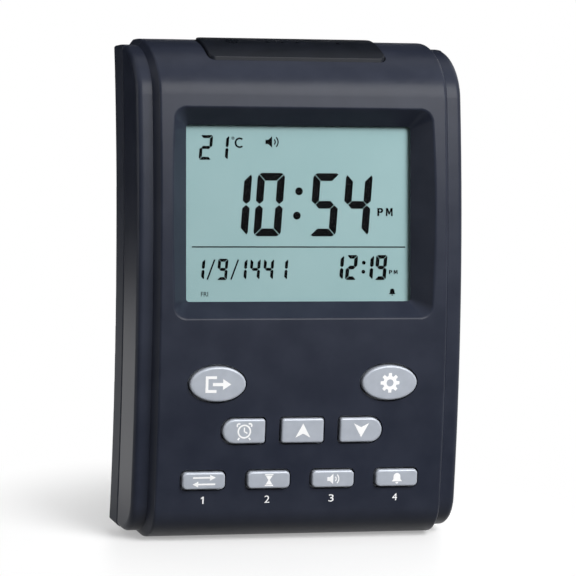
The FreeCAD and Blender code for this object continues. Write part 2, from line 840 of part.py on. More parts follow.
def key_cap(key):
    """Keycap with a rounded rim, a flange that holds it in the case and a stem on its dome."""
    label, outline, row_name, x, z = key
    width, height, corner = KEY_ROWS[row_name]
    body = new_body(label, KEYPAD)
    cap = pad(
        body, "cap", [(outline(width, height, corner), x, z)], -size.key_proud,
        "key_proud + wall + key_rest_gap + key_flange_thickness",
    )
    document.recompute()
    rim = [
        f"Edge{number}" for number, edge in enumerate(cap.Shape.Edges, start=1)
        if edge.BoundBox.YMax < -size.key_proud + 0.01
    ]
    rounded = body.newObject("PartDesign::Fillet", label + "_rim")
    rounded.Base = (cap, rim)
    bind(rounded, Radius="key_rim")
    grow = size.key_flange
    flange = [(outline(width + 2 * grow, height + 2 * grow, corner + grow), x, z)]
    pad(body, "flange", flange, flange_front, "key_flange_thickness")
    pad(body, "stem", [(circle_outline(size.key_stem_radius), x, z)], stem_front, "key_stem_length")


def key_mat():
    """Silicone mat with one dome under each key."""
    body = new_body("key_mat", KEYPAD)
    sheet_outline = rounded_outline(size.mat_width, size.mat_height, size.lower_corner)
    pad(body, "sheet", [(sheet_outline, 0, 0)], mat_front, "mat_thickness")
    domes = [(circle_outline(size.dome_radius), key[3], key[4]) for key in KEYS]
    pad(body, "domes", domes, dome_top, "dome_height")
    holes = [
        (circle_outline(size.small_post_radius + size.frame_fit), x, z) for x, z in key_board_screw_points()
    ]
    pocket(body, "holes", holes, mat_front, "mat_thickness")


def key_board():
    """Circuit board behind the mat."""
    body = new_body("key_board", KEYPAD)
    outline = rounded_outline(
        size.mat_width + 2 * size.key_board_margin, size.mat_height + 2 * size.key_board_margin,
        size.lower_corner,
    )
    pad(body, "plate", [(outline, 0, 0)], mat_back, "board_thickness")
    holes = [
        (circle_outline(size.small_screw_radius + size.screw_fit), x, z)
        for x, z in key_board_screw_points()
    ]
    pocket(body, "holes", holes, mat_back, "board_thickness")


def box_part(label, length, width, height, corner, placement=CLOCK):
    """Plain box with its sizes bound to the sheet and its low corner in one of the frames."""
    item = document.addObject("Part::Box", label)
    bind(item, Length=length, Width=width, Height=height)
    item.Placement = ROW.multiply(placement).multiply(Placement(Vector(*corner), Rotation()))
    return node(item, label)


def cylinder_part(label, radius, length, start, placement=CLOCK, direction=Vector(0, 1, 0)):
    """Plain cylinder with its sizes bound to the sheet, along a direction in one of the frames."""
    item = document.addObject("Part::Cylinder", label)
    bind(item, Radius=radius, Height=length)
    turn = Rotation(Vector(0, 0, 1), direction)
    item.Placement = ROW.multiply(placement).multiply(Placement(Vector(*start), turn))
    return node(item, label)


def display_window():
    """Clear window seated behind the bezel."""
    body = new_body("display_window")
    overlap = 2 * size.window_overlap
    outline = rounded_outline(
        size.window_width + overlap, size.window_height + overlap, size.window_corner,
    )
    pad(body, "plate", [(outline, 0, window_middle)], size.bezel_depth, "window_thickness")


def display_frame():
    """Frame round the window, the display glass and the light guide, with four screwed ears."""
    body = new_body("display_frame")
    inner = 2 * (size.window_overlap + size.frame_fit)
    rim = inner + 2 * size.frame_side
    outer_outline = rounded_outline(
        size.window_width + rim, size.window_height + rim, size.window_corner + size.frame_side,
    )
    inner_outline = rounded_outline(
        size.window_width + inner, size.window_height + inner, size.frame_fit,
    )
    front = size.bezel_depth + size.stack_gap
    depth = "window_thickness + glass_thickness + guide_thickness + 2 * stack_gap"
    pad(body, "ring", [(outer_outline, 0, window_middle)], front, depth)
    ear = rounded_outline(size.ear_width, size.ear_width, size.small_screw_radius)
    reach = board_half_width - size.ear_width / 2
    ears = [(ear, math.copysign(reach, x), z) for x, z in board_screw_points()]
    pad(body, "ears", ears, board_front - size.ear_thickness, "ear_thickness - stack_gap")
    pocket(body, "window", [(inner_outline, 0, window_middle)], front, depth + " + ear_thickness")
    holes = [
        (circle_outline(size.small_screw_radius + size.screw_fit), x, z) for x, z in board_screw_points()
    ]
    pocket(body, "holes", holes, board_front - size.ear_thickness, "ear_thickness")


def display_board():
    """Circuit board behind the display, with a tab that carries the bar's switch."""
    body = new_body("display_board")
    plate = rounded_outline(2 * board_half_width, 2 * board_half_height, size.window_corner)
    pad(body, "plate", [(plate, 0, window_middle)], board_front, "board_thickness")
    tab_height = switch_top - window_middle
    tab = rounded_outline(3 * size.switch_width, tab_height, size.window_corner)
    pad(body, "tab", [(tab, 0, window_middle + tab_height / 2)], board_front, "board_thickness")
    holes = [
        (circle_outline(size.small_screw_radius + size.screw_fit), x, z) for x, z in board_screw_points()
    ]
    pocket(body, "holes", holes, board_front, "board_thickness")


def bar_switch():
    """Switch body under the bar's stem, with the bore of its plunger."""
    base = document.addObject("Part::Box", "switch_block")
    bind(base, Length="switch_width", Width="switch_height", Height="switch_width")
    base.Placement.Base = Vector(-size.switch_width / 2, board_back, switch_top - size.switch_width)
    bore = document.addObject("Part::Cylinder", "switch_bore")
    bind(bore, Radius="plunger_radius + screw_fit", Height="2 * bar_travel + plunger_height")
    bore.Placement.Base = Vector(0, switch_axis, switch_top - 2 * size.bar_travel)
    item = document.addObject("Part::Cut", "bar_switch")
    item.Base = base
    item.Tool = bore
    item.Placement = ROW
    node(item, "bar_switch")


def loudspeaker():
    """Loudspeaker against the grille: frame with its cone in front of the magnet, held by a clamp ring."""
    rim_back = size.body_depth - size.wall - size.stack_gap
    front = rim_back - size.speaker_depth
    middle = (0, front, size.speaker_height)
    shell = rod(size.speaker_radius, size.speaker_depth, middle)
    cone_start = (0, front + size.bay_wall, size.speaker_height)
    cone_depth = size.speaker_depth - size.bay_wall
    seat = size.speaker_radius - size.clamp_width
    space = Part.makeCone(size.magnet_radius, seat, cone_depth, Vector(*cone_start), Vector(0, 1, 0))
    feature("speaker_frame", shell.cut(space))
    back = Part.makeCone(
        size.magnet_radius - size.screw_fit, seat - size.screw_fit, cone_depth, Vector(*cone_start),
        Vector(0, 1, 0),
    )
    dish_start = (0, front + 2 * size.bay_wall, size.speaker_height)
    dish = Part.makeCone(
        size.magnet_radius / 2, seat - size.screw_fit, cone_depth - size.bay_wall, Vector(*dish_start),
        Vector(0, 1, 0),
    )
    feature("speaker_cone", back.cut(dish))
    cylinder_part(
        "speaker_magnet", "magnet_radius", "magnet_depth",
        (0, front - size.magnet_depth, size.speaker_height),
    )
    clamp_start = (0, front - size.bay_wall, size.speaker_height)
    clamp = rod(size.speaker_radius + size.clamp_width, size.bay_wall, clamp_start)
    feature("speaker_clamp", clamp.cut(rod(seat, size.bay_wall, clamp_start)))


def battery_door():
    """Door of the battery bay, with the head of its screw let in."""
    body = new_body("battery_door", BAY)
    outline = rounded_outline(door_width, door_height, size.door_corner)
    pad(body, "plate", [(outline, 0, 0)], door_front, "door_thickness")
    screw_z = door_height / 2 - size.door_overlap - size.small_head_radius
    hole = [(circle_outline(size.small_head_radius + size.screw_fit), 0, screw_z)]
    pocket(body, "screw_hole", hole, door_front, "door_thickness")
    head = rod(size.small_head_radius, size.door_thickness, (0, door_front, screw_z))
    shank = rod(size.door_screw_radius, size.cell_play, (0, door_front - size.cell_play, screw_z))
    feature("door_screw", head.fuse(shank), BAY)


def cells():
    """Two cells side by side, head to tail, with springs and plates at their ends."""
    step = size.cell_radius + size.cell_gap / 2
    springs = []
    plates = []
    half = bay_half_width - size.cell_play
    for label, side in (("cell_upper", 1), ("cell_lower", -1)):
        start = half - size.plate_thickness - size.cell_length
        start = start if side == 1 else -start - size.cell_length
        cylinder_part(
            label, "cell_radius", "cell_length", (start, cell_middle, side * step), BAY, Vector(1, 0, 0),
        )
        spring_x = -half + size.plate_thickness if side == 1 else half - size.plate_thickness
        gap = abs(abs(spring_x) - abs(start if side == 1 else start + size.cell_length))
        start = Vector(spring_x, cell_middle, side * step)
        tip_radius = size.spring_radius - size.spring_taper
        springs.append(Part.makeCone(size.spring_radius, tip_radius, gap, start, Vector(side, 0, 0)))
    for side in (-1, 1):
        x = side * half - (size.plate_thickness if side == 1 else 0.0)
        reach = step + size.plate_side / 2
        plates.append(
            block(
                (x, cell_middle - size.plate_side / 2, -reach),
                (x + size.plate_thickness, cell_middle + size.plate_side / 2, reach),
            )
        )
    feature("battery_springs", Part.makeCompound(springs), BAY)
    feature("battery_plates", Part.makeCompound(plates), BAY)


def fold_out_foot():
    """Foot that folds out behind the base on two pins, with a soft pad under its end."""
    start = foot_pin_start()
    half = size.foot_width / 2
    plate = block((-half, start.y, size.pad_proud), (half, start.y + size.foot_length, size.foot_thickness))
    knuckle = rod(
        size.foot_pin_height - size.pad_proud, size.foot_width, start - Vector(half, 0, 0), Vector(1, 0, 0)
    )
    pins = rod(
        size.foot_pin_radius, size.foot_width + 2 * size.foot_pin_length,
        start - Vector(half + size.foot_pin_length, 0, 0), Vector(1, 0, 0),
    )
    far = start.y + size.foot_length - size.clamp_width
    seat = block(
        (-size.pad_width / 2, far - size.pad_depth, 0), (size.pad_width / 2, far, size.pad_thickness)
    )
    foot = plate.fuse(knuckle).fuse(pins).cut(seat)
    feature("fold_out_foot", foot, ROW.inverse())
    feature("foot_pad", seat, ROW.inverse())


def lead(points, bend):
    """Round lead along straight runs joined by tangent arcs."""
    edges = []
    last = Vector(*points[0])
    for before, corner, after in zip(points, points[1:], points[2:]):
        corner = Vector(*corner)
        inward = (Vector(*before) - corner).normalize()
        outward = (Vector(*after) - corner).normalize()
        half_turn = inward.getAngle(outward) / 2
        reach = bend / math.tan(half_turn)
        start = corner + inward * reach
        end = corner + outward * reach
        centre = corner + (inward + outward).normalize() * (bend / math.sin(half_turn))
        middle = centre + (corner - centre).normalize() * bend
        edges.append(Part.LineSegment(last, start).toShape())
        edges.append(Part.Arc(start, middle, end).toShape())
        last = end
    edges.append(Part.LineSegment(last, Vector(*points[-1])).toShape())
    path = Part.Wire(edges)
    first = Vector(*points[0])
    direction = (Vector(*points[1]) - first).normalize()
    profile = Part.Wire(Part.Circle(first, direction, size.lead_radius).toShape())
    return path.makePipeShell([profile], True, False)


def electronics():
    """Parts on the display board and the pieces of the display behind the window."""
    window_left = -size.window_width / 2 - size.window_overlap
    window_low = window_middle - size.window_height / 2 - size.window_overlap
    box_part(
        "display_glass", "window_width + 2 * window_overlap", "glass_thickness",
        "window_height + 2 * window_overlap", (window_left, glass_front, window_low),
    )
    box_part(
        "light_guide", "window_width", "guide_thickness", "window_height - 2 * strip_height",
        (-size.window_width / 2, guide_front, window_middle - size.window_height / 2 + size.strip_height),
    )
    strips = []
    for side in (-1, 1):
        z = window_middle + side * size.window_height / 2
        low = (-size.window_width / 2, glass_back, z - size.strip_height / 2)
        high = (size.window_width / 2, board_front, z + size.strip_height / 2)
        strips.append(block(low, high))
    feature("contact_strips", Part.makeCompound(strips))
    lamp_x = size.window_width / 2 + size.window_overlap / 2
    lamps = [
        block(
            (x - size.lamp_depth / 2, guide_front, window_middle - size.lamp_width / 2),
            (x + size.lamp_depth / 2, board_front, window_middle + size.lamp_width / 2),
        )
        for x in (-lamp_x, lamp_x)
    ]
    feature("backlight_lamps", Part.makeCompound(lamps))
    low = window_middle - size.window_height / 2 + size.chip_side / 2
    box_part(
        "controller_chip", "chip_side", "chip_height", "chip_side",
        (-size.chip_side / 2, board_back, low),
    )
    box_part(
        "memory_chip", "memory_side", "chip_height", "memory_side",
        (size.chip_side, board_back, low),
    )
    cylinder_part(
        "crystal", "crystal_radius", "crystal_length",
        (-size.chip_side - size.crystal_length, board_back + size.crystal_radius, low),
        CLOCK, Vector(1, 0, 0),
    )
    capacitors = [
        rod(size.capacitor_radius, size.capacitor_height, (side * size.capacitor_pitch / 2, board_back, z))
        for side in (-1, 1) for z in (low, low + 3 * size.capacitor_radius)
    ]
    feature("capacitors", Part.makeCompound(capacitors))
    cylinder_part(
        "temperature_sensor", "crystal_radius", "chip_height",
        (-board_screw_x + size.ear_width, board_back, window_middle),
    )


def leads():
    """Pairs of leads from the loudspeaker and from the battery bay to the display board."""
    magnet_back = size.body_depth - size.wall - size.stack_gap - size.speaker_depth
    depth = magnet_back - size.bay_wall - 2 * size.lead_radius
    speaker_leads = []
    for side in (-1, 1):
        x = side * (size.speaker_radius + size.clamp_width + size.lead_gap)
        z = size.speaker_height + side * size.lead_pitch
        start = side * (size.magnet_radius + size.lead_gap)
        speaker_leads.append(lead([(start, depth, z), (x, depth, z), (x, board_back, z)], size.lead_bend))
    feature("speaker_leads", Part.makeCompound(speaker_leads))
    battery_leads = []
    depth = board_back + size.lead_rise
    top = window_middle - size.window_height / 2
    for step in (0, 1):
        x = bay_half_width + size.bay_wall + size.door_overlap + size.lead_gap + step * size.lead_pitch
        points = [(x, depth, bay_height), (x, depth, top), (x, board_back, top)]
        battery_leads.append(lead(points, size.lead_bend))
    feature("battery_leads", Part.makeCompound(battery_leads))


def board_ribbon():
    """Flat ribbon from the back of the key board to the front of the display board's lower edge."""
    thickness = size.plate_thickness
    board_top = size.mat_height / 2 + size.key_board_margin
    start = KEYPAD.multVec(Vector(0, key_board_back, board_top - size.ribbon_overlap))
    start_back = KEYPAD.multVec(Vector(0, key_board_back + thickness, board_top - size.ribbon_overlap))
    edge = KEYPAD.multVec(Vector(0, key_board_back, board_top + size.ribbon_bend))
    low = window_middle - board_half_height
    points = [
        start, edge, Vector(0, edge.y, low), Vector(0, board_front, low + size.ribbon_seat),
        Vector(0, board_front, low + size.ribbon_seat - 2 * thickness),
        Vector(0, edge.y + thickness, low - thickness), Vector(0, edge.y + thickness, edge.z), start_back,
    ]
    face = Part.Face(Part.makePolygon(points + points[:1]))
    ribbon = face.extrude(Vector(2 * size.switch_width, 0, 0))
    ribbon.translate(Vector(-size.switch_width, 0, 0))
    feature("board_ribbon", ribbon)


front_case()
rear_cover()
top_bar()
cylinder_part(
    "bar_plunger", "plunger_radius", "plunger_height + bar_travel",
    (0, switch_axis, switch_top - size.bar_travel), CLOCK, Vector(0, 0, 1),
)
bar_switch()
for key in KEYS:
    key_cap(key)
key_mat()
key_board()
display_window()
display_frame()
display_board()
electronics()
loudspeaker()
battery_door()
cells()
fold_out_foot()
leads()
board_ribbon()
screws(
    "case_screws", case_screw_points(), size.screw_radius, size.screw_head_radius, size.screw_head_height,
    lambda z: face_depth(z) + 3 * size.wall,
    lambda z: face_depth(z, size.body_depth) - size.screw_head_height - size.wall,
)
screws(
    "board_screws", board_screw_points(), size.small_screw_radius, size.small_head_radius,
    size.small_head_height, lambda z: size.bezel_depth + size.wall, lambda z: board_back,
)
screws(
    "key_board_screws", key_board_screw_points(), size.small_screw_radius, size.small_head_radius,
    size.small_head_height, lambda z: size.wall + size.screw_skin + size.tip_gap, lambda z: key_board_back,
    KEYPAD,
)
document.recompute()

failed = [item.Name for item in document.Objects if set(item.State) & {"Invalid", "Error"}]
failed += [item.Label for item in NODES if item.Shape.isNull() or not item.Shape.isValid()]
if failed:
    raise RuntimeError(f"not built: {failed}")

os.makedirs("parts", exist_ok=True)
for item in NODES:
    item.Shape.exportStep(f"parts/{item.Label}.step")
    box = item.Shape.BoundBox
    low = [round(value, 2) for value in (box.XMin, box.YMin, box.ZMin)]
    high = [round(value, 2) for value in (box.XMax, box.YMax, box.ZMax)]
    print(item.Label, len(item.Shape.Solids), round(item.Shape.Volume, 1), low, high)
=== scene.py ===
# %% [markdown]
# # An azan clock on a pale table
# The clock is a bent slab of blue-black plastic with a sunken display, nine silver keys and a long bar on
# top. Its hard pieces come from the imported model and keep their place. This script gives them their finishes,
# and adds what is printed on them or shown by the display. It works in metres, and `mm` turns real sizes into
# them.

import json
import math

import bpy
from mathutils import Matrix, Vector


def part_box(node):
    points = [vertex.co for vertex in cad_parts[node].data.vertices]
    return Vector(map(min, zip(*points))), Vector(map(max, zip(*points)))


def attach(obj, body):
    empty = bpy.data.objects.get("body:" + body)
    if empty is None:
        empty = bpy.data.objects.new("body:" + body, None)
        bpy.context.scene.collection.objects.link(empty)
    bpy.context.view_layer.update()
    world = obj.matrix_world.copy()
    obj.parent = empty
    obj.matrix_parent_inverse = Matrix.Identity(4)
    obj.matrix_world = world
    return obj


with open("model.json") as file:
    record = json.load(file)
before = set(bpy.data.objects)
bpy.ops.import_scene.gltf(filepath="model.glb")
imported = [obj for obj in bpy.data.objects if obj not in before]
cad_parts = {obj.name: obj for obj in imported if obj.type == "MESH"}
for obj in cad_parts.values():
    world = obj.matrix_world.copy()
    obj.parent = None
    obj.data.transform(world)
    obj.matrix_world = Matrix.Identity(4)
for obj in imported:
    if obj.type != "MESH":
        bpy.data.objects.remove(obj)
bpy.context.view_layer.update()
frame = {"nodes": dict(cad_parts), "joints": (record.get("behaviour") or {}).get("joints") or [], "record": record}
NODES = frame["nodes"]


def mm(value):
    """A real size in millimetres as metres."""
    return value * 0.001


def unselect_all():
    """Leaves nothing selected, so that an operator acts only on what is picked next."""
    bpy.ops.object.select_all(action="DESELECT")


unselect_all()

# %% [markdown]
# ## Directions on the clock
# The display leans back and the keypad follows the bend of the face, so marks can't simply stand upright.
# The joints of the model already hold both directions: the bar is pressed down along the display, and a key
# is pressed straight into the keypad. A matrix made from such a direction stands a flat drawing on the clock.

# %% Directions of the display and the keypad
AXES = {joint["name"]: Vector(joint["axis"]) for joint in frame["joints"]}
RIGHT = Vector((1, 0, 0))
DISPLAY_UP = -AXES["top_bar_press"].normalized()
DISPLAY_IN = DISPLAY_UP.cross(RIGHT)
KEY_IN = AXES["key_exit_press"].normalized()
KEY_UP = RIGHT.cross(KEY_IN)
FLAT_DEPTH = mm(0.02)
SIGHT_START = mm(100)


def drawing_frame(origin, inward):
    """Matrix that stands a flat drawing on a surface: X goes right, Y up and Z out of the surface."""
    up = RIGHT.cross(inward)
    return Matrix.Translation(origin) @ Matrix((RIGHT, up, -inward)).transposed().to_4x4()


def middle(values):
    """Halfway between the lowest and the highest value."""
    return (min(values) + max(values)) / 2


def front_centre(node, inward):
    """Centre of a node's foremost flat face, seen along a direction."""
    up = RIGHT.cross(inward)
    corners = [vertex.co for vertex in NODES[node].data.vertices]
    depth = min(corner.dot(inward) for corner in corners)
    front = [corner for corner in corners if corner.dot(inward) < depth + FLAT_DEPTH]
    across = middle([corner.dot(RIGHT) for corner in front])
    rise = middle([corner.dot(up) for corner in front])
    return RIGHT * across + up * rise + inward * depth


def surface_frame(node, inward, through):
    """Drawing frame on a curved node, where a line of sight through a point first meets it."""
    start = through - inward * SIGHT_START
    hit, place, normal, _ = NODES[node].ray_cast(start, inward)
    return drawing_frame(place, -normal.normalized()) if hit else drawing_frame(through, inward)


DISPLAY_CENTRE = front_centre("display_glass", DISPLAY_IN)
print("display centre in mm:", [round(value * 1000, 2) for value in DISPLAY_CENTRE])

# %% [markdown]
# ## Camera
# A photograph taken from about a metre away with a long lens shows little perspective. It looks from the
# clock's left side, level with the display, so the camera leans back with the display. The lens and the
# sensor are given in millimetres, as on a real camera.

# %% Camera at the photograph's angle
VIEW_TURN = math.radians(-17)
VIEW_RISE = math.radians(0.44)
VIEW_DISTANCE = mm(1120)
VIEW_AIM = Vector((mm(-3.15), mm(-1.0), mm(-21.2)))
LENS_LENGTH = 245.6
SENSOR_WIDTH = 36

clock_axes = Matrix((RIGHT, DISPLAY_IN, DISPLAY_UP)).transposed()
level = math.cos(VIEW_RISE)
view_back = clock_axes @ Vector(
    (math.sin(VIEW_TURN) * level, -math.cos(VIEW_TURN) * level, math.sin(VIEW_RISE))
)
view_right = clock_axes @ Vector((math.cos(VIEW_TURN), math.sin(VIEW_TURN), 0))
view_up = view_back.cross(view_right)
view_place = DISPLAY_CENTRE + clock_axes @ VIEW_AIM + view_back * VIEW_DISTANCE

bpy.ops.object.camera_add()
camera = bpy.context.object
camera.name = "photo_camera"
camera.matrix_world = (
    Matrix.Translation(view_place) @ Matrix((view_right, view_up, view_back)).transposed().to_4x4()
)
camera.data.lens = LENS_LENGTH
camera.data.sensor_width = SENSOR_WIDTH
bpy.context.scene.camera = camera
bpy.context.scene.view_settings.view_transform = "Standard"
print("camera at", [round(value, 3) for value in camera.location])

# %% [markdown]
# ## Finishes
# Every finish starts from what the real one is and how its surface was made. One function turns a hex colour
# into Blender's linear colour, and one adds a node with its settings and links. Moulded plastic is never
# quite even: its colour drifts a little, its gloss drifts with it, and a fine grain breaks up the highlights.
# A small recipe gives each plastic its own drift and grain from real sizes.

# %% Helpers for materials
DARK_PATCHES_TO = 0.35
LIGHT_PATCHES_FROM = 0.65
PATCH_DETAIL = 3.0
GRAIN_DETAIL = 2.0
GRAIN_STRENGTH = 0.6


def colour(hex_code):
    """A hex sRGB colour as linear RGBA, by the formula of the sRGB standard."""
    parts = [int(hex_code[i:i + 2], 16) / 255 for i in (1, 3, 5)]
    linear = [part / 12.92 if part <= 0.04045 else ((part + 0.055) / 1.055) ** 2.4 for part in parts]
    return (*linear, 1.0)


def add(owner, kind, settings, links):
    """Adds a node: settings fill its options or inputs, and links join its inputs to other outputs."""
    item = owner.node_tree.nodes.new(kind)
    for key, value in settings.items():
        if isinstance(key, str) and hasattr(item, key):
            setattr(item, key, value)
        else:
            item.inputs[key].default_value = value
    for key, output in links.items():
        owner.node_tree.links.new(output, item.inputs[key])
    return item


def finish(name, base, **settings):
    """New material with one Principled shader, its constants set on the shader itself."""
    material = bpy.data.materials.new(name)
    material.use_nodes = True
    shader = material.node_tree.nodes["Principled BSDF"]
    shader.inputs["Base Color"].default_value = colour(base)
    for key, value in settings.items():
        shader.inputs[key.replace("_", " ")].default_value = value
    return material, shader


def moulded(name, light, dark, drift_mm, gloss, gloss_drift, grain_mm, grain_height_mm, **settings):
    """Finish whose colour and gloss drift in patches, under a fine grain of a real size."""
    material, shader = finish(name, light, Roughness=gloss, **settings)
    place = add(material, "ShaderNodeTexCoord", {}, {}).outputs["Object"]
    patches = add(
        material, "ShaderNodeTexNoise", {"Scale": 1 / mm(drift_mm), "Detail": PATCH_DETAIL}, {"Vector": place}
    ).outputs["Fac"]
    ramp = add(material, "ShaderNodeValToRGB", {}, {"Fac": patches})
    ramp.color_ramp.elements[0].position = DARK_PATCHES_TO
    ramp.color_ramp.elements[0].color = colour(dark)
    ramp.color_ramp.elements[1].position = LIGHT_PATCHES_FROM
    ramp.color_ramp.elements[1].color = colour(light)
    sheen = add(
        material, "ShaderNodeMapRange", {"To Min": gloss - gloss_drift, "To Max": gloss + gloss_drift},
        {"Value": patches},
    )
    grain = add(
        material, "ShaderNodeTexNoise", {"Scale": 1 / mm(grain_mm), "Detail": GRAIN_DETAIL}, {"Vector": place}
    )
    bump = add(
        material, "ShaderNodeBump", {"Strength": GRAIN_STRENGTH, "Distance": mm(grain_height_mm)},
        {"Height": grain.outputs["Fac"]},
    )
    for source, target in (
        (ramp.outputs["Color"], "Base Color"), (sheen.outputs["Result"], "Roughness"),
        (bump.outputs["Normal"], "Normal"),
    ):
        material.node_tree.links.new(source, shader.inputs[target])
    return material


print("middle grey #808080 in linear light:", round(colour("#808080")[0], 3))

# %% [markdown]
# ### Plastics that show
# The casing is ABS moulded with a fine spark-eroded grain and no lacquer: nearly black, with a cold blue cast
# and a soft sheen. Its rear half has a coarser matt grain. The bar is smoother, because fingers polish it.
# The keys are ABS sprayed with silver-grey lacquer, whose fine metal flakes give a satin glow. Rubber is dull
# and nearly black, with the coarsest grain.

# %% Finishes of the outer pieces
FINISHES = {
    "casing": moulded(
        "satin_moulded_abs_blue_black", "#292d39", "#232733", drift_mm=9.0, gloss=0.33, gloss_drift=0.03,
        grain_mm=0.35, grain_height_mm=0.012, IOR=1.5, Specular_IOR_Level=0.12,
    ),
    "cover": moulded(
        "matt_moulded_abs_blue_black", "#282c37", "#232731", drift_mm=8.0, gloss=0.48, gloss_drift=0.04,
        grain_mm=0.5, grain_height_mm=0.03, IOR=1.5, Specular_IOR_Level=0.1,
    ),
    # The bar's colour is darker than the casing's, and this is painted shade: its top faces up towards the main
    # lamp, which would light it more.
    "bar": moulded(
        "smooth_moulded_abs_black_with_painted_shade", "#171a21", "#13161c", drift_mm=7.0, gloss=0.36, gloss_drift=0.04,
        grain_mm=0.6, grain_height_mm=0.012, IOR=1.5, Specular_IOR_Level=0.1,
    ),
    "key": moulded(
        "sprayed_silver_grey_lacquer", "#aeb4be", "#a8aeb8", drift_mm=3.0, gloss=0.34, gloss_drift=0.04,
        grain_mm=0.15, grain_height_mm=0.006, IOR=1.5, Metallic=0.1,
    ),
    "rubber": moulded(
        "soft_moulded_rubber", "#1b1b1b", "#131313", drift_mm=5.0, gloss=0.75, gloss_drift=0.05,
        grain_mm=0.3, grain_height_mm=0.04, IOR=1.5,
    ),
}
print("outer finishes:", ", ".join(FINISHES))

# %% [markdown]
# ### The display's glass
# The window is clear moulded acrylic, nearly invisible: a little of its own surface is left, enough for a
# faint reflection. Through it the display shows a polariser, a grey-green film over a bright foil. The
# segments are dark because they turn the light away.

# %% Finishes of the display
FINISHES["window"], _ = finish("clear_moulded_acrylic", "#0d1113", Roughness=0.05, IOR=1.49, Alpha=0.05)
FINISHES["display"] = moulded(
    "laminated_lcd_polariser", "#9cbbbd", "#98b8ba", drift_mm=16.0, gloss=0.6, gloss_drift=0.02,
    grain_mm=0.3, grain_height_mm=0.002, IOR=1.45, Specular_IOR_Level=0.05,
)
print("display finishes:", FINISHES["window"].name, "over", FINISHES["display"].name)

# %% [markdown]
# ### Pieces inside
# The boards, cells, springs and the loudspeaker hide behind the casing, and show when the case is opened or
# the battery door lifts off. Each has its own common material. A row holds its name, its lighter and darker
# colour, its gloss, the size and height of its grain in millimetres, and what else its shader needs.

# %% Finishes of the inner pieces
INNER_DRIFT_MM = 5.0
INNER_GLOSS_DRIFT = 0.04
INNER = {
    # Glassy and faintly blue, with clear highlights along its edges.
    "guide": ("moulded_clear_polycarbonate", "#e6eef0", "#dfe9ec", 0.15, 0.3, 0.003, {"IOR": 1.58}),
    # Warm off-white with a soft sheen, as plastic without a dye has.
    "white_plastic": ("moulded_natural_abs", "#d9d6cc", "#d2cfc4", 0.45, 0.3, 0.01, {"IOR": 1.5}),
    # Deep green with a wet gloss, a little lighter and darker in patches.
    "board": ("screened_green_solder_mask", "#14512a", "#18592f", 0.3, 0.4, 0.01, {"IOR": 1.5}),
    # Dull black with a fine sandy surface.
    "chip": ("moulded_black_epoxy", "#0c0c0d", "#151516", 0.55, 0.15, 0.01, {"IOR": 1.5}),
    # Cool grey metal with soft highlights.
    "steel": ("zinc_plated_steel", "#a9abae", "#9c9ea2", 0.32, 0.2, 0.004, {"Metallic": 1.0}),
    # Warmer and brighter metal, with a sharp highlight along each wire.
    "nickel": ("nickel_plated_wire", "#c2bfb6", "#b9b6ad", 0.22, 0.2, 0.003, {"Metallic": 1.0}),
    # Pale grey and matt, without a hard highlight.
    "silicone": ("moulded_grey_silicone", "#a8a8a4", "#9f9f9b", 0.6, 0.2, 0.01, {"IOR": 1.41}),
    # Black paper with a felted surface and hardly any shine.
    "cone": ("pressed_black_paper", "#121212", "#1c1c1b", 0.85, 0.3, 0.05, {"IOR": 1.5}),
    # Dark blue-grey film, smooth and glossy.
    "cell": ("printed_cell_sleeve", "#23282f", "#2a2f37", 0.3, 0.5, 0.004, {"IOR": 1.5}),
    # Strong red with a soft sheen.
    "wire": ("extruded_red_pvc", "#8f1712", "#9a1c16", 0.45, 0.3, 0.01, {"IOR": 1.53}),
    # Amber and glossy, nearly smooth.
    "foil": ("etched_amber_polyimide", "#8a4f17", "#97591c", 0.28, 0.4, 0.004, {"IOR": 1.6}),
}
for slot, (name, light, dark, gloss, grain_mm, height_mm, settings) in INNER.items():
    FINISHES[slot] = moulded(
        name, light, dark, INNER_DRIFT_MM, gloss, INNER_GLOSS_DRIFT, grain_mm, height_mm, **settings
    )

for part in frame["record"]["subparts"]:
    mesh = NODES[part["node"]].data
    mesh.materials.clear()
    mesh.materials.append(FINISHES[part["material_slot"]])
print(len(FINISHES), "finishes on", len(NODES), "nodes")

# %% [markdown]
# ## Flat prints
# Printed marks and the display's segments are films thinner than paper. A filled curve draws each outline
# exactly, and a thin extrusion keeps it clear of the surface below. The curve becomes a mesh before it is
# placed, so that the finished piece sits at the origin, as the model's own nodes do. A segment is nearly
# black and has no gloss of its own. White ink is clean and a little uneven, as a soft pad leaves it.

# %% Inks and stencils
INKS = {
    "segment": moulded(
        "dark_liquid_crystal", "#050708", "#020304", drift_mm=5.0, gloss=0.5, gloss_drift=0.02,
        grain_mm=0.2, grain_height_mm=0.001, IOR=1.45, Specular_IOR_Level=0.02,
    ),
    "white": moulded(
        "pad_printed_white_ink", "#fafafa", "#f4f4f5", drift_mm=4.0, gloss=0.5, gloss_drift=0.04,
        grain_mm=0.2, grain_height_mm=0.004, IOR=1.5,
    ),
    # The raised signs take the bar's finish, its painted shade included.
    "relief": FINISHES["bar"],
}
FILM = mm(0.04)


def settle(piece, stand, body, ink):
    """Stands a flat mesh on the clock, gives it its ink and lets it ride on a body."""
    piece.data.transform(stand)
    piece.data.materials.clear()
    piece.data.materials.append(INKS[ink])
    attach(piece, body)


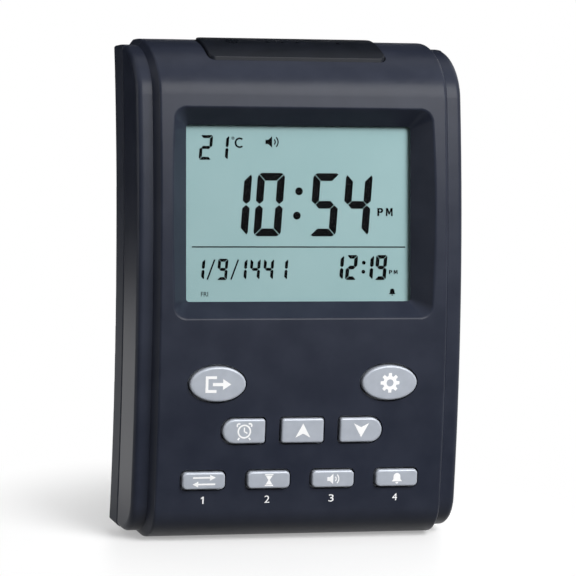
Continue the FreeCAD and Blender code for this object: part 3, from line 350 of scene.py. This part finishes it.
def stencil(name, outlines, place, body, ink, thickness=FILM):
    """One flat piece from closed outlines in millimetres, filled and thinly extruded."""
    curve = bpy.data.curves.new(name, "CURVE")
    curve.dimensions = "2D"
    curve.fill_mode = "BOTH"
    curve.extrude = thickness / 2
    for outline in outlines:
        spline = curve.splines.new("POLY")
        spline.points.add(len(outline) - 1)
        for point, (x, y) in zip(spline.points, outline):
            point.co = (mm(x), mm(y), 0, 1)
        spline.use_cyclic_u = True
    drawn = bpy.data.objects.new(name, curve)
    bpy.context.scene.collection.objects.link(drawn)
    unselect_all()
    drawn.select_set(True)
    bpy.context.view_layer.objects.active = drawn
    bpy.ops.object.convert(target="MESH")
    piece = bpy.context.object
    piece.data.name = name
    settle(piece, place @ Matrix.Translation((0, 0, thickness / 2)), body, ink)


def numerals(name, words, height, width, place, body, ink):
    """Plain characters, fitted to a height and a width in millimetres about the drawing's origin."""
    unselect_all()
    bpy.ops.object.text_add()
    letters = bpy.context.object
    letters.name = name
    letters.data.body = words
    letters.data.extrude = FILM / 2
    bpy.ops.object.convert(target="MESH")
    piece = bpy.context.object
    piece.data.name = name
    points = [vertex.co for vertex in piece.data.vertices]
    across = [point.x for point in points]
    rise = [point.y for point in points]
    wide = mm(width) / (max(across) - min(across))
    tall = mm(height) / (max(rise) - min(rise))
    fit = Matrix.Diagonal((wide, tall, 1, 1)) @ Matrix.Translation((-middle(across), -middle(rise), 0))
    settle(piece, place @ Matrix.Translation((0, 0, FILM / 2)) @ fit, body, ink)


def moved(outline, x, y):
    """An outline moved on the drawing."""
    return [(px + x, py + y) for px, py in outline]


def grown(outlines, times):
    """Outlines grown about the drawing's origin."""
    return [[(x * times, y * times) for x, y in outline] for outline in outlines]


def on_circle(radius, turn):
    """Point on a circle about the drawing's origin, at an angle in degrees."""
    return radius * math.cos(math.radians(turn)), radius * math.sin(math.radians(turn))


def arc(x, y, radius, start, end, steps=16):
    """Points along a circle between two angles in degrees."""
    turns = [start + (end - start) * i / steps for i in range(steps + 1)]
    return moved([on_circle(radius, turn) for turn in turns], x, y)


def disc(x, y, radius):
    """Closed circle."""
    return arc(x, y, radius, 0, 350, 35)


def band(x, y, radius, width, start, end):
    """Closed strip along part of a circle."""
    outer = arc(x, y, radius + width / 2, start, end)
    return outer + arc(x, y, radius - width / 2, end, start)


def bar_between(start, end, width):
    """Closed straight stroke between two points."""
    (ax, ay), (bx, by) = start, end
    length = math.hypot(bx - ax, by - ay)
    nx, ny = -(by - ay) / length * width / 2, (bx - ax) / length * width / 2
    return [(ax + nx, ay + ny), (ax - nx, ay - ny), (bx - nx, by - ny), (bx + nx, by + ny)]


print("inks:", ", ".join(INKS))

# %% [markdown]
# ## What the display shows
# A liquid crystal display draws its digits with seven segments. Each is a bar with mitred ends, and a thin
# pale line is left where two meet. One set of outlines serves every digit: it is worked out from the digit's
# width, height and stroke, and then slanted. All places and sizes are millimetres from the display's centre.

# %% Seven segments
LIT = {"0": "abcdef", "1": "bc", "2": "abged", "4": "fgbc", "5": "afgcd", "9": "abcdfg"}
SLANT = 0.08
CORNER_SHARE = 0.55
MITRE_SHARE = 0.3
SEGMENT_LIFT = mm(0.02)
GLASS = drawing_frame(DISPLAY_CENTRE - DISPLAY_IN * SEGMENT_LIFT, DISPLAY_IN)


def shown(name, outlines):
    """One piece of dark segments on the display's glass."""
    stencil(name, outlines, GLASS, "case", "segment")


def segment_outlines(width, height, stroke, gap):
    """Outlines of the seven segments of a digit, with its low left corner at the origin."""
    half = height / 2
    corner = stroke * CORNER_SHARE
    mitre = corner * MITRE_SHARE
    inner = stroke + gap

    def flip_x(outline):
        return [(width - x, y) for x, y in outline]

    def flip_y(outline):
        return [(x, height - y) for x, y in outline]

    top = [
        (corner, height), (width - corner, height), (width - mitre - gap, height - mitre),
        (width - inner, height - stroke), (inner, height - stroke), (mitre + gap, height - mitre),
    ]
    right = [
        (width - mitre, height - mitre - gap), (width, height - corner), (width, half + stroke / 2),
        (width - stroke / 2, half + gap), (width - stroke, half + stroke / 2),
        (width - stroke, height - inner),
    ]
    cross = [
        (stroke / 2 + gap, half), (inner, half + stroke / 2), (width - inner, half + stroke / 2),
        (width - stroke / 2 - gap, half), (width - inner, half - stroke / 2), (inner, half - stroke / 2),
    ]
    return {
        "a": top, "b": right, "c": flip_y(right), "d": flip_y(top), "e": flip_x(flip_y(right)),
        "f": flip_x(right), "g": cross,
    }


def digits(name, text, places, foot, width, height, stroke, gap):
    """One piece with a number's digits at their places along the display, all standing on one line."""
    outlines = []
    shapes = segment_outlines(width, height, stroke, gap)
    for character, x in zip(text, places):
        for letter in LIT[character]:
            outlines.append([(x + px + py * SLANT, foot + py) for px, py in shapes[letter]])
    shown(name, outlines)


digits(
    "display_hours", "10", places=(-23.0, -13.2), foot=-6.45, width=8.1, height=18.05, stroke=2.2, gap=0.14
)
digits(
    "display_minutes", "54", places=(3.4, 13.2), foot=-6.45, width=8.0, height=18.05, stroke=2.2, gap=0.14
)
digits(
    "display_degrees", "21", places=(-29.3, -24.5), foot=15.2, width=3.7, height=7.0, stroke=0.85, gap=0.1
)
digits(
    "display_date", "191441", places=(-30.8, -24.0, -18.3, -14.4, -10.4, -6.2), foot=-18.9,
    width=3.0, height=6.05, stroke=0.85, gap=0.09,
)
digits(
    "display_second_time", "1219", places=(10.1, 14.2, 19.1, 23.1), foot=-18.95,
    width=3.4, height=7.15, stroke=1.05, gap=0.09,
)
print("digits drawn")

# %% [markdown]
# ### Dots, lines and small signs
# The display's other signs are plain: two pairs of dots, the slashes of the date, the dividing line, the
# degree sign, the marks for the afternoon, the weekday, and a small loudspeaker and bell.

# %% Dots, lines and signs
def loudspeaker_sign(x, y, size):
    """Loudspeaker with two sound waves, about a size across."""
    horn = [
        (-0.5, -0.16), (-0.28, -0.16), (0.0, -0.42), (0.0, 0.42), (-0.28, 0.16), (-0.5, 0.16),
    ]
    waves = [band(0.0, 0.0, radius, 0.09, -48, 48) for radius in (0.24, 0.46)]
    return [[(x + px * size, y + py * size) for px, py in outline] for outline in (horn, *waves)]


def afternoon_sign(x, y, width, height):
    """Bold capitals P and M side by side, about a point."""
    letter = width * 0.44
    p_body = [(0, 0), (0, 1), (0.55, 1)] + [(0.55 + px, 0.7 + py) for px, py in arc(0, 0, 0.3, 80, -80, 10)]
    p_body += [(0.55, 0.4), (0.27, 0.4), (0.27, 0)]
    p_hole = [(0.27, 0.58), (0.27, 0.82), (0.5, 0.82), (0.6, 0.7), (0.5, 0.58)]
    m_body = [
        (0, 0), (0, 1), (0.3, 1), (0.5, 0.5), (0.7, 1), (1, 1), (1, 0), (0.77, 0), (0.77, 0.66), (0.6, 0.2),
        (0.4, 0.2), (0.23, 0.66), (0.23, 0),
    ]
    starts = ((p_body, -width / 2), (p_hole, -width / 2), (m_body, width / 2 - letter))
    return [
        [(x + start + px * letter, y + (py - 0.5) * height) for px, py in outline]
        for outline, start in starts
    ]


def bell_sign(x, y, size):
    """Hand bell with its clapper, about a size high."""
    body = [(-0.42, -0.3), (-0.28, -0.12)] + arc(0.0, 0.08, 0.28, 180, 0, 14) + [(0.28, -0.12), (0.42, -0.3)]
    clapper = arc(0.0, -0.36, 0.12, 180, 360, 8)
    return [[(x + px * size, y + py * size) for px, py in outline] for outline in (body, clapper)]


shown(
    "display_dots",
    [disc(0.45, 6.4, 1.12), disc(-0.2, -0.55, 1.12), disc(19.9, -14.0, 0.56), disc(19.75, -16.6, 0.56)],
)
shown(
    "display_lines",
    [
        bar_between((-31.3, -9.5), (32.4, -9.5), 0.34),
        bar_between((-26.8, -18.8), (-24.6, -13.1), 0.45), bar_between((-19.8, -18.8), (-17.6, -13.1), 0.45),
    ],
)
shown("display_sound_sign", loudspeaker_sign(-7.6, 20.4, 3.9))
shown("display_bell_sign", bell_sign(28.5, -22.3, 2.4))
shown(
    "display_degree_sign",
    [disc(-19.2, 21.4, 0.42), disc(-19.2, 21.4, 0.2), band(-17.2, 20.1, 1.25, 0.5, 50, 310)],
)
shown("display_afternoon", afternoon_sign(26.3, 0.55, 4.6, 2.3))
shown("display_second_afternoon", afternoon_sign(28.8, -16.7, 2.6, 1.2))
weekday_place = GLASS @ Matrix.Translation((mm(-27.6), mm(-22.9), 0))
numerals("display_weekday", "FRI", 1.3, 2.1, weekday_place, "case", "segment")
print("signs drawn")

# %% [markdown]
# ## Signs on the keys
# White signs are pad printed on the silver keys. Each key gets a plain sign of what it does: a way out,
# a gear for settings, an alarm clock, an arrowhead up and down, a swap, an hourglass, a loudspeaker and a
# bell. Each is one stencil on its key's flat top, and rides with the key. The outlines are millimetres, and
# the signs of the larger keys are grown to fill them.

# %% Signs on the key tops
def way_out_sign():
    """Open frame with an arrow that leaves it to the right."""
    frame_side = [
        (-0.4, 1.9), (-3.0, 1.9), (-3.0, -1.9), (-0.4, -1.9), (-0.4, -1.25), (-2.35, -1.25), (-2.35, 1.25),
        (-0.4, 1.25),
    ]
    arrow = [(-1.3, 0.38), (1.1, 0.38), (1.1, 1.25), (3.0, 0.0), (1.1, -1.25), (1.1, -0.38), (-1.3, -0.38)]
    return [frame_side, arrow]


def gear_sign():
    """Gear wheel with eight teeth and a round bore."""
    teeth = 8
    root, tip, bore = 1.55, 2.2, 0.8
    root_lean, tip_lean = 15, 9
    outline = []
    for tooth in range(teeth):
        middle_turn = 360 / teeth * tooth
        for radius, lean in ((root, -root_lean), (tip, -tip_lean), (tip, tip_lean), (root, root_lean)):
            outline.append(on_circle(radius, middle_turn + lean))
    return [outline, disc(0, 0, bore)]


def alarm_clock_sign():
    """Round clock with two hands, two bells and two feet."""
    ring = [disc(0, 0, 1.75), disc(0, 0, 1.35)]
    hands = [bar_between((0, 0.0), (0, 1.0), 0.32), bar_between((0.0, 0.0), (0.8, -0.45), 0.32)]
    ear = band(1.4, 1.5, 0.45, 0.4, -45, 135)
    ears = [ear, [(-x, y) for x, y in ear]]
    feet = [bar_between((side * 1.2, -1.55), (side * 1.6, -2.1), 0.4) for side in (-1, 1)]
    return ring + hands + ears + feet


def arrowhead_sign(side):
    """Notched arrowhead that points up or down."""
    return [[(0, side * 1.9), (2.05, -side * 1.8), (0, -side * 0.75), (-2.05, -side * 1.8)]]


def swap_sign():
    """Two arrows, one each way."""
    arrow = [(-3.3, 0.24), (1.7, 0.24), (1.7, 0.85), (3.4, 0.0), (1.7, -0.85), (1.7, -0.24), (-3.3, -0.24)]
    return [moved(arrow, 0, 0.95), moved([(-x, -y) for x, y in arrow], 0, -0.95)]


def hourglass_sign():
    """Hourglass between its two plates."""
    glass = [(-1.0, 1.25), (1.0, 1.25), (0.2, 0.0), (1.0, -1.25), (-1.0, -1.25), (-0.2, 0.0)]
    plates = [bar_between((-1.25, side * 1.55), (1.25, side * 1.55), 0.34) for side in (-1, 1)]
    return [glass] + plates


KEY_SIGNS = {
    "key_exit": grown(way_out_sign(), 1.25),
    "key_set": grown(gear_sign(), 1.3),
    "key_previous": grown(alarm_clock_sign(), 1.15),
    "key_mode": grown(arrowhead_sign(1), 1.1),
    "key_next": grown(arrowhead_sign(-1), 1.1),
    "key_one": swap_sign(),
    "key_two": hourglass_sign(),
    "key_three": loudspeaker_sign(0, 0, 3.6),
    "key_four": bell_sign(0, 0.1, 3.7),
}
for key, outlines in KEY_SIGNS.items():
    place = drawing_frame(front_centre(key, KEY_IN), KEY_IN)
    stencil(key + "_sign", outlines, place, key, "white")
print(len(KEY_SIGNS), "key signs printed")

# %% [markdown]
# ## Numbers under the lower keys
# Below each of the four lower keys stands a small white print. Here it is the key's number. The face bends
# there, so a line of sight finds the surface and its direction below each key. The figure 1 is a stencil,
# so that it keeps a stroke of its own width.

# %% Numbers on the face
NUMBER_DROP = mm(5.75)
NUMBER_HEIGHT = 2.1
NUMBER_WIDTH = 1.5
ONE = [(0.05, -1.05), (0.05, 0.55), (-0.4, 0.3), (-0.4, 0.68), (0.12, 1.05), (0.45, 1.05), (0.45, -1.05)]
for number, key in enumerate(("key_one", "key_two", "key_three", "key_four"), start=1):
    below = front_centre(key, KEY_IN) - KEY_UP * NUMBER_DROP
    place = surface_frame("front_case", KEY_IN, below)
    if number == 1:
        stencil("number_1", [ONE], place, "case", "white")
    else:
        numerals(
            f"number_{number}", str(number), NUMBER_HEIGHT, NUMBER_WIDTH, place, "case", "white"
        )
print("numbers printed")

# %% [markdown]
# ## Raised signs on the bar
# Fingers find the long bar in the dark by small raised signs: a sun, because it lights the display, three
# short ribs at its middle, and a bell, because it stops the alarm. They are stencils too, thick enough to
# feel, and moulded in the bar's own plastic.

# %% Signs on the bar
RELIEF = mm(0.35)
SIGN_LINE_BACK = mm(1.5)
SUN_X, RIB_X, BELL_X = -17.0, -1.0, 15.0
RIB_STEP = 4.5
low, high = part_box("top_bar")


def raised(name, outlines, x):
    """Raised sign on the bar's curved top, at a distance in millimetres from its middle."""
    through = Vector((mm(x), (low.y + high.y) / 2 + SIGN_LINE_BACK, high.z))
    place = surface_frame("top_bar", -DISPLAY_UP, through)
    stencil(name, outlines, place, "top_bar", "relief", RELIEF)


def sun_sign():
    """Small sun with eight rays."""
    rays = [
        bar_between(on_circle(1.15, turn), on_circle(1.85, turn), 0.35) for turn in range(0, 360, 45)
    ]
    return [disc(0, 0, 0.75)] + rays


raised("bar_sun", sun_sign(), SUN_X)
for step in (-1, 0, 1):
    raised(f"bar_rib_{step + 2}", [bar_between((-1.4, 0), (1.4, 0), 0.7)], RIB_X + step * RIB_STEP)
raised("bar_bell", bell_sign(0, 0, 2.6), BELL_X)
print("bar signs raised")

# %% [markdown]
# ## Table, room and lights
# The clock stands on a white table in a white room. The table really is lit near the clock, so that it keeps
# the shadow, and fades to plain white further off. It throws hardly any light back up. The room is plain
# white where it is seen, also in gloss or through glass, and lights the clock only weakly, so that the lamps
# can shape it. A large soft lamp at the upper right is the main light, a narrow one at the left lights the
# side of the case, and one behind lights the back. Dark plastic seen at a glancing angle would mirror the
# white room. As in a photographer's studio, black cards out of sight behind, beside and below the clock keep
# those reflections dark.

# %% Table and room
BOUNCE = 0.06
LIT_RADIUS = mm(40)
PLAIN_RADIUS = mm(105)
LEAST_PLAIN = 0.35
TABLE_FRONT = mm(-75)
TABLE_REACH = mm(3000)
ROOM_LIGHT_ABOVE = 0.2
ROOM_LIGHT_BELOW = 0.02
ROOM_LIGHT_FROM = -0.3


def seen(owner):
    """One where a surface is seen straight, in gloss or through glass, and nought where it gives light."""
    path = add(owner, "ShaderNodeLightPath", {}, {})
    gloss = add(
        owner, "ShaderNodeMath", {"operation": "MAXIMUM"},
        {0: path.outputs["Is Camera Ray"], 1: path.outputs["Is Glossy Ray"]},
    )
    return add(
        owner, "ShaderNodeMath", {"operation": "MAXIMUM"},
        {0: gloss.outputs[0], 1: path.outputs["Is Transmission Ray"]},
    ).outputs[0]


def white_table():
    """Satin white laminate that is lit near the clock and fades to plain white around it."""
    material, shader = finish("satin_white_laminate", "#f8f8f8", Roughness=0.3, Specular_IOR_Level=0.03)
    place = add(material, "ShaderNodeTexCoord", {}, {}).outputs["Object"]
    distance = add(material, "ShaderNodeVectorMath", {"operation": "LENGTH"}, {0: place})
    fade = add(
        material, "ShaderNodeMapRange",
        {
            "interpolation_type": "SMOOTHSTEP", "From Min": LIT_RADIUS, "From Max": PLAIN_RADIUS,
            "To Min": LEAST_PLAIN,
        },
        {"Value": distance.outputs["Value"]},
    )
    amount = add(
        material, "ShaderNodeMath", {"operation": "MULTIPLY"},
        {0: fade.outputs["Result"], 1: seen(material)},
    )
    glow = add(material, "ShaderNodeEmission", {"Color": (1, 1, 1, 1), "Strength": 1.0}, {})
    mixed = add(
        material, "ShaderNodeMixShader", {},
        {0: amount.outputs[0], 1: shader.outputs["BSDF"], 2: glow.outputs["Emission"]},
    )
    bounce = add(material, "ShaderNodeBsdfDiffuse", {"Color": (BOUNCE, BOUNCE, BOUNCE, 1)}, {})
    whole = add(
        material, "ShaderNodeMixShader", {},
        {0: seen(material), 1: bounce.outputs["BSDF"], 2: mixed.outputs["Shader"]},
    )
    output = material.node_tree.nodes["Material Output"]
    material.node_tree.links.new(whole.outputs["Shader"], output.inputs["Surface"])
    return material


bpy.ops.mesh.primitive_plane_add(size=1, location=(0, 0, 0))
table = bpy.context.object
table.name = "white_table"
table_size = Matrix.Diagonal((2 * TABLE_REACH, TABLE_REACH, 1, 1))
table.data.transform(Matrix.Translation((0, TABLE_FRONT + TABLE_REACH / 2, 0)) @ table_size)
table.data.materials.append(white_table())

world = bpy.data.worlds.new("white_room")
bpy.context.scene.world = world
world.use_nodes = True
room_lit = world.node_tree.nodes["Background"]
room_lit.inputs["Color"].default_value = (1, 1, 1, 1)
direction = add(world, "ShaderNodeTexCoord", {}, {}).outputs["Generated"]
height = add(world, "ShaderNodeSeparateXYZ", {}, {"Vector": direction}).outputs["Z"]
overhead = add(
    world, "ShaderNodeMapRange",
    {
        "From Min": ROOM_LIGHT_FROM, "From Max": 1.0, "To Min": ROOM_LIGHT_BELOW,
        "To Max": ROOM_LIGHT_ABOVE,
    },
    {"Value": height},
)
world.node_tree.links.new(overhead.outputs["Result"], room_lit.inputs["Strength"])
room_seen = add(world, "ShaderNodeBackground", {"Color": (1, 1, 1, 1), "Strength": 1.0}, {})
room = add(
    world, "ShaderNodeMixShader", {},
    {0: seen(world), 1: room_lit.outputs["Background"], 2: room_seen.outputs["Background"]},
)
world.node_tree.links.new(room.outputs["Shader"], world.node_tree.nodes["World Output"].inputs["Surface"])
print("table and room placed")

# %% Lamps
def soft_lamp(name, offset, width, height, power):
    """Rectangular soft lamp in metres and watts, offset from the display's centre and facing it."""
    place = DISPLAY_CENTRE + clock_axes @ Vector(offset)
    bpy.ops.object.light_add(type="AREA", location=place)
    lamp = bpy.context.object
    lamp.name = name
    lamp.data.shape = "RECTANGLE"
    lamp.data.size = width
    lamp.data.size_y = height
    lamp.data.energy = power
    lamp.rotation_mode = "QUATERNION"
    lamp.rotation_quaternion = (DISPLAY_CENTRE - place).to_track_quat("-Z", "Y")


soft_lamp("main_lamp", offset=(0.26, -0.55, 0.3), width=0.46, height=0.46, power=7.3)
soft_lamp("side_lamp", offset=(-0.9, -0.05, 0.1), width=0.3, height=0.6, power=2.6)
soft_lamp("rear_lamp", offset=(0.35, 0.9, 0.1), width=0.5, height=0.5, power=8.0)
print("lamps placed")

# %% Dark cards
BLACK_CARD, _ = finish("matt_black_card", "#050505", Roughness=0.9, Specular_IOR_Level=0.0)


def dark_card(name, centre, facing, width, height):
    """Black card out of the camera's sight, which only gloss can show."""
    bpy.ops.mesh.primitive_plane_add(size=1, location=(0, 0, 0))
    card = bpy.context.object
    card.name = name
    turn = Vector(facing).to_track_quat("Z", "Y").to_matrix().to_4x4()
    card.data.transform(Matrix.Translation(centre) @ turn @ Matrix.Diagonal((width, height, 1, 1)))
    card.data.materials.append(BLACK_CARD)
    card.visible_camera = False
    card.visible_diffuse = False
    card.visible_shadow = False
    card.visible_transmission = False


dark_card("card_behind", centre=(-0.08, 0.4, 0.35), facing=(0, -1, 0), width=0.9, height=0.7)
dark_card("card_left", centre=(-0.5, -0.25, 0.1), facing=(1, 0.3, 0), width=0.5, height=0.5)
dark_card("card_below", centre=(0, -0.35, -0.08), facing=(0, 0.2, 1), width=0.8, height=0.5)
print("cards placed")
